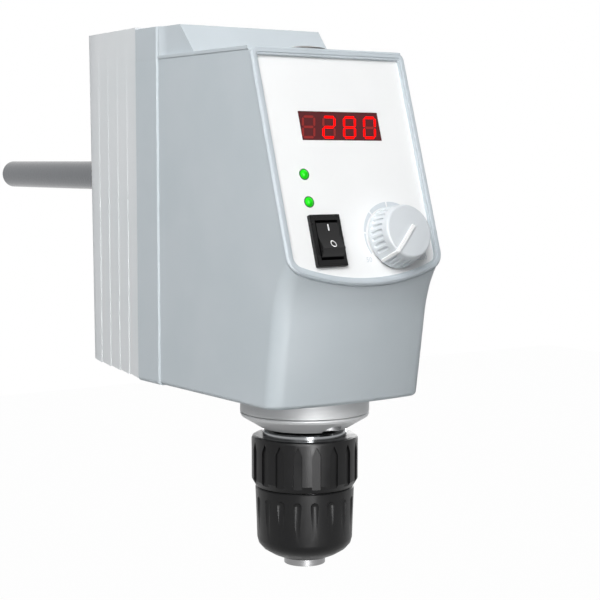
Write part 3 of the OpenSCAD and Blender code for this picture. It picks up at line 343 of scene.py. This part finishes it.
def to_object(name, mesh_edit, material, body):
    """Finishes a bmesh as an object at the origin, riding on a body."""
    mesh = bpy.data.meshes.new(name)
    bmesh.ops.recalc_face_normals(mesh_edit, faces=mesh_edit.faces)
    mesh_edit.to_mesh(mesh)
    mesh_edit.free()
    obj = bpy.data.objects.new(name, mesh)
    scene.collection.objects.link(obj)
    obj.data.materials.append(material)
    soften(obj, 0.0)
    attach(obj, body)
    return obj


def plate(mesh_edit, points, low, high, matrix=Matrix()):
    """A flat outline, extruded from low to high along z, then placed. Millimetres."""
    corners = [mesh_edit.verts.new(Vector((x, y, low)) * MM) for x, y in points]
    face = mesh_edit.faces.new(corners)
    grown = bmesh.ops.extrude_face_region(mesh_edit, geom=[face])["geom"]
    raised = [v for v in grown if isinstance(v, bmesh.types.BMVert)]
    bmesh.ops.translate(mesh_edit, verts=raised, vec=Vector((0, 0, high - low)) * MM)
    bmesh.ops.transform(mesh_edit, matrix=matrix, verts=corners + raised)


# %% [markdown]
# ## Display digits
# The display is a row of four seven-segment digits behind a dark red window. Each segment is a
# thin six-sided bar with pointed ends. Bars that are off still show as a dull red, so both the
# lit and the unlit bars are made. The unlit ones carry a faint painted glow, and the whole digit leans to
# the right.

# %% Display digits
DIGIT_W, DIGIT_H, BAR, DIGIT_LEAN = 6.0, 9.4, 1.1, 0.2
BAR_SPACE, BAR_THICK = 0.26, 0.05
DIGIT_S = 35.5
DIGIT_X = [-17.3, -6.4, 4.8, 15.9]
SEGMENTS = {
    "top": (0, DIGIT_H / 2, 0), "middle": (0, 0, 0), "bottom": (0, -DIGIT_H / 2, 0),
    "upper_left": (-DIGIT_W / 2, DIGIT_H / 4, 1), "upper_right": (DIGIT_W / 2, DIGIT_H / 4, 1),
    "lower_left": (-DIGIT_W / 2, -DIGIT_H / 4, 1), "lower_right": (DIGIT_W / 2, -DIGIT_H / 4, 1),
}
LIT = [
    [],
    ["top", "upper_right", "middle", "lower_left", "bottom"],
    list(SEGMENTS),
    ["top", "upper_left", "upper_right", "lower_left", "lower_right", "bottom"],
]


def bar_outline(cx, cy, upright):
    """A bar with pointed ends; an upright one is half the digit high."""
    half = (DIGIT_H / 4 if upright else DIGIT_W / 2) - BAR_SPACE
    tip = BAR / 2
    upper = [(-half, 0), (-half + tip, tip), (half - tip, tip)]
    level = upper + [(-x, -y) for x, y in upper]
    points = [(-y, x) if upright else (x, y) for x, y in level]
    return [(cx + x + DIGIT_LEAN * (cy + y), cy + y) for x, y in points]


def make_digits(name, lit, material):
    """All lit bars, or all unlit ones, as one object."""
    digits = bmesh.new()
    for x, on in zip(DIGIT_X, LIT):
        for segment, (cx, cy, upright) in SEGMENTS.items():
            if (segment in on) == lit:
                place = panel_matrix(x, DIGIT_S, FACE_DEPTH)
                plate(digits, bar_outline(cx, cy, upright), 0, BAR_THICK, place)
    return to_object(name, digits, material, "body")


make_digits("digits_lit", True, glowing("segment_lit", "FF0A0A", 1.0))
# the unlit bars glow faintly: a painted glow that keeps them dull red under any lamp
make_digits("digits_unlit", False, glowing("segment_off_painted_glow", "8F3230", 0.12))

# %% [markdown]
# ## Speed scale
# Round the knob runs a printed scale that starts as a thin line at the slowest speed and grows
# wider clockwise. It is cut into six lengths by narrow gaps, each one flat outline of points.

# %% Speed scale
KNOB_X, KNOB_S = 17.1, 86.8
SCALE_START, SCALE_END, SCALE_PARTS = 62.0, 298.0, 6
SCALE_INNER, SCALE_THIN, SCALE_WIDE = 14.35, 14.8, 18.8
GAP_MM, GAP_RADIUS, ARC_STEPS = 0.7, 16, 12


def clock_point(radius, degrees):
    """Point on the panel, its angle counted clockwise from straight down."""
    a = math.radians(degrees)
    return (-radius * math.sin(a), -radius * math.cos(a))


scale_ink = moulded("scale_ink", "D0D7DC", "D4DADF", 0.45, grain_depth=0.002)
scale_ring = bmesh.new()
scale_sweep = SCALE_END - SCALE_START
step = scale_sweep / SCALE_PARTS
half_gap = math.degrees(GAP_MM / 2 / GAP_RADIUS)
for part in range(SCALE_PARTS):
    first = SCALE_START + part * step + half_gap
    last = SCALE_START + (part + 1) * step - half_gap
    angles = [first + (last - first) * i / ARC_STEPS for i in range(ARC_STEPS + 1)]
    outer_r = [SCALE_THIN + (SCALE_WIDE - SCALE_THIN) * (a - SCALE_START) / scale_sweep for a in angles]
    outline = [clock_point(SCALE_INNER, a) for a in angles]
    outline += [clock_point(r, a) for r, a in zip(reversed(outer_r), reversed(angles))]
    plate(scale_ring, outline, 0, INK_MM, panel_matrix(KNOB_X, KNOB_S, FACE_DEPTH))
to_object("speed_scale", scale_ring, scale_ink, "body")

# %% Scale numbers
NUMBER_SIZE, NUMBER_R, NUMBER_ANGLE = 3.2, 17.6, 58
LONG_NUMBER_SHIFT = 0.6


def printed_number(name, words, x, s):
    """Digits turned into a mesh before their place on the panel is applied."""
    curve = bpy.data.curves.new(name, "FONT")
    curve.body = words
    curve.size = NUMBER_SIZE * MM
    curve.align_x = "CENTER"
    curve.align_y = "CENTER"
    curve.extrude = INK_MM / 2 * MM
    curve.resolution_u = 3
    letter_object = bpy.data.objects.new(name + "_curve", curve)
    scene.collection.objects.link(letter_object)
    bpy.context.view_layer.update()
    evaluated = letter_object.evaluated_get(bpy.context.evaluated_depsgraph_get())
    mesh = bpy.data.meshes.new_from_object(evaluated)
    bpy.data.objects.remove(letter_object)
    letters = bmesh.new()
    letters.from_mesh(mesh)
    bmesh.ops.remove_doubles(letters, verts=letters.verts, dist=0.000001)
    bmesh.ops.transform(letters, matrix=panel_matrix(x, s, FACE_DEPTH + INK_MM / 2), verts=letters.verts)
    return to_object(name, letters, scale_ink, "body")


low_x, low_y = clock_point(NUMBER_R, NUMBER_ANGLE)
printed_number("scale_low", "50", KNOB_X + low_x, KNOB_S - low_y)
printed_number("scale_high", "2200", KNOB_X - low_x - LONG_NUMBER_SHIFT, KNOB_S - low_y)

# %% [markdown]
# ## Switch marks
# The rocker carries the usual bar and ring for on and off, moulded in white and a hair proud of
# its two sloping faces.

# %% Switch marks
SWITCH_X, SWITCH_S, PIVOT_H, ROCKER_TILT = -18.9, 87.1, -4.0, math.radians(-13)
ROCKER_R, ROCKER_END, FACE_DIP = 9.2, 6.0, 1.4
FACE_HIGH = math.sqrt(ROCKER_R ** 2 - ROCKER_END ** 2)
FACE_SLOPE = math.atan2(FACE_DIP, ROCKER_END)
MARK_X, BAR_MARK_Y, RING_MARK_Y = 0.3, 4.2, -3.9
MARK_PROUD, BAR_SUNK, RING_THICK = 0.05, 0.02, 0.07
BAR_HALF_W, BAR_HALF_H = 0.32, 1.5
RING_R, RING_HOLE, RING_OVAL = 1.62, 0.74, (0.86, 1.15, 1)


def rocker_matrix(x, along, side):
    """A point on the rocker's upper (+1) or lower (-1) face, z out of that face."""
    tip_up = Matrix.Rotation(side * FACE_SLOPE, 4, "X")
    foot = Matrix.Translation(Vector((0, 0, FACE_HIGH - FACE_DIP)) * MM)
    turn = Matrix.Rotation(ROCKER_TILT, 4, "X")
    on_face = Matrix.Translation(Vector((x, along, 0)) * MM)
    return panel_matrix(SWITCH_X, SWITCH_S, PIVOT_H) @ turn @ foot @ tip_up @ on_face


mark_white = moulded("mark_white", "F4F4F4", "F8F8F8", 0.4, grain_depth=0.002)
marks = bmesh.new()
bar_mark = [(-BAR_HALF_W, -BAR_HALF_H), (BAR_HALF_W, -BAR_HALF_H),
            (BAR_HALF_W, BAR_HALF_H), (-BAR_HALF_W, BAR_HALF_H)]
plate(marks, bar_mark, -BAR_SUNK, MARK_PROUD, rocker_matrix(MARK_X, BAR_MARK_Y, 1))
ring = bmesh.ops.create_circle(marks, cap_ends=False, radius=RING_R * MM, segments=36)["verts"]
bmesh.ops.translate(marks, verts=ring, vec=Vector((0, 0, MARK_PROUD)) * MM)
ring_edges = list({edge for vert in ring for edge in vert.link_edges})
inner = bmesh.ops.extrude_edge_only(marks, edges=ring_edges)["geom"]
inner_verts = [v for v in inner if isinstance(v, bmesh.types.BMVert)]
bmesh.ops.scale(marks, verts=inner_verts, vec=(RING_HOLE, RING_HOLE, 1))
bmesh.ops.scale(marks, verts=ring + inner_verts, vec=RING_OVAL)
ring_faces = [face for face in marks.faces if all(v in ring + inner_verts for v in face.verts)]
grown = bmesh.ops.extrude_face_region(marks, geom=ring_faces)["geom"]
sunk = [v for v in grown if isinstance(v, bmesh.types.BMVert)]
bmesh.ops.translate(marks, verts=sunk, vec=Vector((0, 0, -RING_THICK)) * MM)
bmesh.ops.transform(marks, matrix=rocker_matrix(MARK_X, RING_MARK_Y, -1), verts=ring + inner_verts + sunk)
to_object("switch_marks", marks, mark_white, "rocker_set")

# %% [markdown]
# ## Lamp rims
# Each lamp sits in a thin rim, spun from a small circle. The rim is real, and its dark green also paints the
# shade at the edges of the lamp's dome.

# %% Lamp rims
LAMP_X, LAMP_R, LAMP_S = -24.2, 2.2, (57.0, 69.4)
RIM_R, RIM_OUT = 0.28, 0.1
rims_painted_shade = bmesh.new()
for lamp_s in LAMP_S:
    profile = bmesh.ops.create_circle(rims_painted_shade, cap_ends=False, radius=RIM_R * MM, segments=10)
    verts = profile["verts"]
    bmesh.ops.rotate(rims_painted_shade, verts=verts, cent=(0, 0, 0), matrix=Matrix.Rotation(math.pi / 2, 3, "X"))
    bmesh.ops.translate(rims_painted_shade, verts=verts, vec=Vector((LAMP_R + RIM_OUT, 0, 0)) * MM)
    edges = list({edge for vert in verts for edge in vert.link_edges})
    before = set(rims_painted_shade.verts) - set(verts)
    bmesh.ops.spin(rims_painted_shade, geom=verts + edges, cent=(0, 0, 0), axis=(0, 0, 1), angle=2 * math.pi, steps=40,
                   use_merge=True)
    made = [v for v in rims_painted_shade.verts if v not in before]
    bmesh.ops.transform(rims_painted_shade, matrix=panel_matrix(LAMP_X, lamp_s, FACE_DEPTH), verts=made)
bmesh.ops.remove_doubles(rims_painted_shade, verts=rims_painted_shade.verts, dist=0.000001)
# dark green rim: partly the real rim, partly painted shade for the darker edges of the lamp's dome
to_object("lamp_rims_painted_shade", rims_painted_shade, moulded("lamp_rim_painted_shade", "0E5A1C", "126322", 0.3), "body")

# %% [markdown]
# ## Studio
# A plain pale floor, a big soft key light from the front left, a weak light from above, a fill from
# behind on the right, and a narrow strip in front that only shows in reflections. The world adds an
# even level. The camera, mirrors and glass see floor and world as white.

# %% Floor and world
def seen_as_white(tree, plain_shader, out_socket, share):
    """Mixes a shader with plain white where the camera, a mirror or glass looks at it."""
    path = tree.nodes.new("ShaderNodeLightPath")
    seen_or_mirrored = tree.nodes.new("ShaderNodeMath")
    seen_or_mirrored.operation = "MAXIMUM"
    any_ray = tree.nodes.new("ShaderNodeMath")
    any_ray.operation = "MAXIMUM"
    weight = tree.nodes.new("ShaderNodeMath")
    weight.operation = "MULTIPLY"
    weight.inputs[1].default_value = share
    white = tree.nodes.new("ShaderNodeBackground" if tree == scene.world.node_tree else "ShaderNodeEmission")
    white.inputs["Color"].default_value = (1, 1, 1, 1)
    white.inputs["Strength"].default_value = 1.0
    mix = tree.nodes.new("ShaderNodeMixShader")
    tree.links.new(path.outputs["Is Camera Ray"], seen_or_mirrored.inputs[0])
    tree.links.new(path.outputs["Is Glossy Ray"], seen_or_mirrored.inputs[1])
    tree.links.new(seen_or_mirrored.outputs[0], any_ray.inputs[0])
    tree.links.new(path.outputs["Is Transmission Ray"], any_ray.inputs[1])
    tree.links.new(any_ray.outputs[0], weight.inputs[0])
    tree.links.new(weight.outputs[0], mix.inputs[0])
    tree.links.new(plain_shader.outputs[0], mix.inputs[1])
    tree.links.new(white.outputs[0], mix.inputs[2])
    tree.links.new(mix.outputs[0], out_socket)


world = bpy.data.worlds.new("studio")
scene.world = world
world.use_nodes = True
sky = world.node_tree.nodes["Background"]
sky.inputs["Color"].default_value = (0.96, 0.98, 1.0, 1)
sky.inputs["Strength"].default_value = 0.12
seen_as_white(world.node_tree, sky, world.node_tree.nodes["World Output"].inputs["Surface"], 1.0)

FLOOR_Z, FLOOR_HALF = -0.75, 4.0  # metres
FLOOR_WHITE = 0.985  # share of white in what the camera sees of the floor
floor_edit = bmesh.new()
bmesh.ops.create_grid(floor_edit, x_segments=1, y_segments=1, size=FLOOR_HALF)
bmesh.ops.translate(floor_edit, verts=floor_edit.verts, vec=(0, 0, FLOOR_Z))
floor_mesh = bpy.data.meshes.new("studio_floor")
floor_edit.to_mesh(floor_mesh)
floor_edit.free()
floor = bpy.data.objects.new("studio_floor", floor_mesh)
scene.collection.objects.link(floor)
floor_paint = plain_finish("floor_white", "D2D2D2", 0.9, specular=0.1)
seen_as_white(floor_paint.node_tree, floor_paint.node_tree.nodes["Principled BSDF"],
              floor_paint.node_tree.nodes["Material Output"].inputs["Surface"], FLOOR_WHITE)
floor.data.materials.append(floor_paint)

# %% Lights
def soft_light(name, location, target, size, watts):
    """A white rectangle of light at a place, facing a target. Metres and watts."""
    data = bpy.data.lights.new(name, "AREA")
    data.shape = "RECTANGLE"
    data.size, data.size_y = size
    data.energy = watts
    light = bpy.data.objects.new(name, data)
    light.location = location
    light.rotation_euler = (Vector(target) - Vector(location)).to_track_quat("-Z", "Y").to_euler()
    scene.collection.objects.link(light)
    return light


soft_light("key_light", (-0.70, -0.76, 0.66), (0, 0, -0.03), (0.8, 0.8), 18)
soft_light("top_light", (-0.10, 0.10, 1.2), (0, 0.02, 0), (0.9, 0.9), 1.5)
soft_light("back_fill", (0.90, 1.00, 0.15), (0, 0.05, 0), (0.9, 0.9), 12)
highlight_strip = soft_light("highlight_strip", (-0.38, -1.06, 0.05), (0, 0, -0.08), (0.20, 0.7), 26)
highlight_strip.visible_diffuse = False

scene.view_settings.view_transform = "Standard"

# %% [markdown]
# ## Finish
# The last cell brings the scene up to date.

# %% Finish
bpy.context.view_layer.update()
